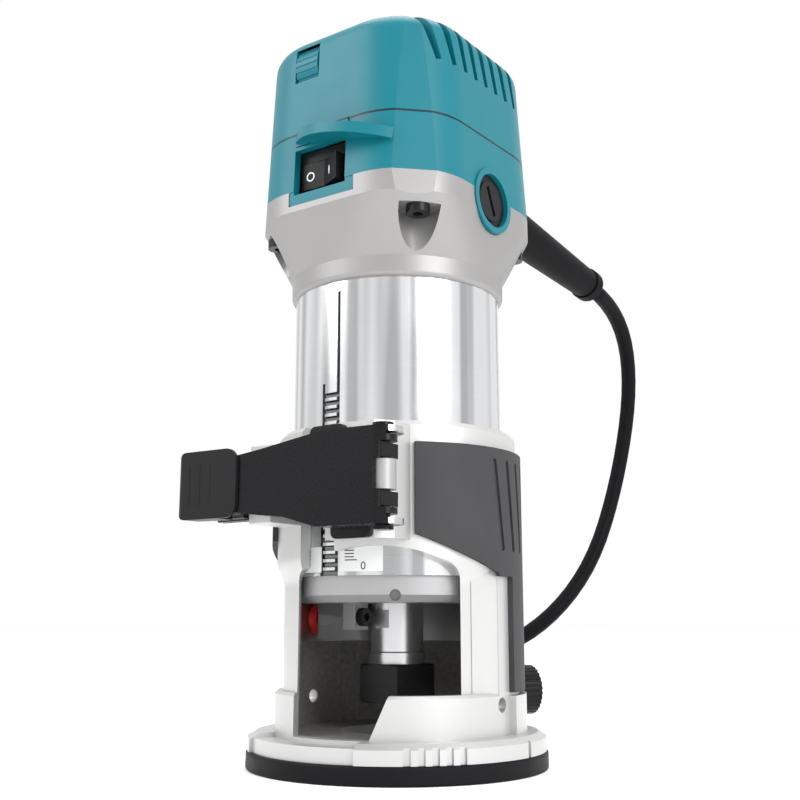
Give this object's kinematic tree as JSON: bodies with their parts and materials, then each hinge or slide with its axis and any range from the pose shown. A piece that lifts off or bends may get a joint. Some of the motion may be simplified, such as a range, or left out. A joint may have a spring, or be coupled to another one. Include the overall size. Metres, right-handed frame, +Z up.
{
  "type": "trim_router",
  "caption": "Corded trim router on a round fixed base with a slim barrel motor, quick clamp lever, rubber side grips and two-tone plastic cap",
  "frame": {"origin": "on the spindle axis, on the underside of the base plate", "axes": "+Z up along the spindle, +X to the operator's right with the switch facing the operator, -Y towards the operator"},
  "size_m": [0.1867, 0.2431, 0.224],
  "materials": {
    "silver_paint": "satin",
    "polished_tube": "polished",
    "bright_steel": "brushed",
    "black_steel": "satin",
    "laminated_steel": "matte",
    "copper_wire": "satin",
    "dark_plate": "satin",
    "grip_rubber": "matte",
    "blue_green_plastic": "satin",
    "black_plastic": "satin",
    "red_plastic": "gloss",
    "label_white": "gloss",
    "carbon": "matte",
    "board": "satin",
    "cord_black": "satin",
    "plated_pins": "polished"
  },
  "bodies": {
    "base": {"base_plate": "dark_plate", "plate_screws": "black_steel", "base_casting": "silver_paint", "left_grip": "grip_rubber", "right_grip": "grip_rubber", "clamp_bracket": "black_steel", "hinge_pin": "black_steel", "draw_bolt": "bright_steel", "clamp_nut": "black_steel", "pinion_bush": "black_plastic", "cord_lead": "cord_black", "cord_coil": "cord_black", "cord_tail": "cord_black", "plug": "cord_black", "plug_pins": "plated_pins"},
    "motor": {"motor_barrel": "polished_tube", "depth_scale": "label_white", "bearing_box": "silver_paint", "shaft_lock_screw": "black_steel", "shaft_lock_spring": "bright_steel", "lower_bearing_outer_ring": "bright_steel", "upper_bearing_outer_ring": "bright_steel", "bearing_sleeve": "black_plastic", "stator_core": "laminated_steel", "field_coils": "copper_wire", "upper_housing": "silver_paint", "lower_cover": "blue_green_plastic", "top_cover": "blue_green_plastic", "housing_screws": "black_steel", "brush_holders": "black_plastic", "brush_caps": "black_plastic", "carbon_brushes": "carbon", "brush_springs": "bright_steel", "switch_body": "black_plastic", "dial_potentiometer": "black_plastic", "control_board": "board", "cord_guard": "cord_black", "cord_clamp": "black_plastic", "cord_clamp_screws": "black_steel"},
    "spindle": {"armature_shaft": "bright_steel", "armature_core": "laminated_steel", "armature_windings": "copper_wire", "commutator": "copper_wire", "cooling_fan": "black_plastic", "lower_bearing_inner_ring": "bright_steel", "upper_bearing_inner_ring": "bright_steel", "collet": "bright_steel", "collet_nut": "black_steel"},
    "lever": {"clamp_lever": "black_steel", "lever_thumb_pad": "black_plastic"},
    "height_drive": {"pinion": "bright_steel", "pinion_shaft": "bright_steel", "height_knob": "black_steel"},
    "lock_button": {"shaft_lock_button": "red_plastic"},
    "rocker": {"rocker": "black_plastic"},
    "dial": {"speed_dial": "blue_green_plastic"},
    "guide_screw": {"guide_thumb_screw": "black_steel"}
  },
  "joints": [
    {"name": "depth_slide", "type": "slide", "parent": "base", "child": "motor", "axis": [0, 0, 1], "range_m": [-0.018, 0.015], "deforming": ["cord_lead"]},
    {"name": "spindle_spin", "type": "hinge", "parent": "motor", "child": "spindle", "pos_m": [0, 0, 0.043], "axis": [0, 0, -1], "continuous": true},
    {"name": "clamp_lever_swing", "type": "hinge", "parent": "base", "child": "lever", "pos_m": [0.028, -0.045, 0.0807], "axis": [0, 0, 1], "range_deg": [0, 110]},
    {"name": "height_knob_turn", "type": "hinge", "parent": "base", "child": "height_drive", "pos_m": [0, -0.03651, 0.0805], "axis": [1, 0, 0], "range_deg": [-240, 200]},
    {"name": "shaft_lock_press", "type": "slide", "parent": "motor", "child": "lock_button", "axis": [1, 0, 0], "range_m": [0, 0.003], "stiffness_N_per_m": 900, "springref_m": -0.001},
    {"name": "rocker_tip", "type": "hinge", "parent": "motor", "child": "rocker", "pos_m": [-0.0016, -0.0334, 0.1766], "axis": [0, 0, 1], "range_deg": [0, 22]},
    {"name": "speed_dial_turn", "type": "hinge", "parent": "motor", "child": "dial", "pos_m": [-0.008, -0.0282, 0.2136], "axis": [1, 0, 0], "range_deg": [-135, 135]},
    {"name": "guide_screw_turn", "type": "hinge", "parent": "base", "child": "guide_screw", "pos_m": [0.0215, 0.03724, 0.021], "axis": [0.5, 0.866, 0], "continuous": true}
  ],
  "couplings": [
    {"joint": "height_knob_turn", "follows": "depth_slide", "rad_per_m": 222.22}
  ]
}
